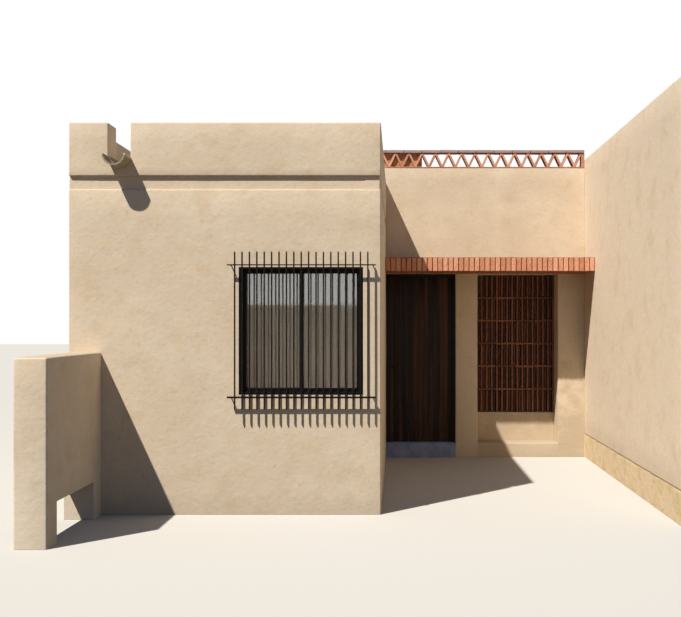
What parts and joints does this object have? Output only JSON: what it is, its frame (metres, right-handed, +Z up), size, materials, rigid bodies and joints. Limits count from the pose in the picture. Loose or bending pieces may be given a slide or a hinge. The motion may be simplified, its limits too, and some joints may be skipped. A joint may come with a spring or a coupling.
{
  "type": "adobe house",
  "caption": "Flat-roofed adobe house of one storey with a grilled window, a brick canopy over a plank door, a niche with a clay screen and a zigzag brick parapet",
  "frame": {"origin": "ground level under the centre of the plan's bounding box", "axes": "+X to the right of the street side, +Y away from the street, +Z up"},
  "size_m": [5.465, 8.345, 3.838],
  "materials": {
    "plaster": "matte",
    "plinth_render": "matte",
    "roof_screed": "matte",
    "floor_tile": "matte",
    "clay_screen": "matte",
    "brick": "matte",
    "concrete": "matte",
    "door_frame_wood": "satin",
    "door_wood": "satin",
    "black_metal": "satin",
    "window_metal": "satin",
    "glass": "gloss",
    "curtain_cloth": "matte",
    "iron": "matte",
    "spout_clay": "matte"
  },
  "bodies": {
    "house": {"left_wall": "plaster", "front_wall": "plaster", "block_right_wall": "plaster", "back_wall": "plaster", "front_parapet": "plaster", "left_parapet": "plaster", "block_right_parapet": "plaster", "back_parapet": "plaster", "front_roof": "roof_screed", "main_roof": "roof_screed", "front_floor": "floor_tile", "main_floor": "floor_tile", "entry_lintel_wall": "plaster", "entry_parapet": "plaster", "entry_pier": "plaster", "entry_wall_right": "plaster", "niche_sill_wall": "plaster", "niche_back_wall": "plaster", "niche_screen": "clay_screen", "entry_canopy": "brick", "parapet_lattice": "brick", "lattice_cap": "brick", "lattice_backing": "plaster", "door_step": "concrete", "door_frame": "door_frame_wood", "window_frame": "window_metal", "left_sash": "window_metal", "right_sash": "window_metal", "left_pane": "glass", "right_pane": "glass", "curtain": "curtain_cloth", "curtain_rail": "black_metal", "window_grille": "iron", "rear_window_frame": "window_metal", "rear_sashes": "window_metal", "rear_pane": "glass", "rear_grille": "iron", "spout": "spout_clay", "low_wall": "plaster", "right_party_wall": "plaster", "right_wall_plinth": "plinth_render"},
    "door": {"door_leaf": "door_wood", "door_handle": "black_metal", "door_hinges": "black_metal"}
  },
  "joints": [
    {"name": "door_hinge", "type": "hinge", "parent": "house", "child": "door", "pos_m": [0.8475, 0.6605, 1.2], "axis": [0, 0, 1], "range_deg": [-90, 0]}
  ]
}
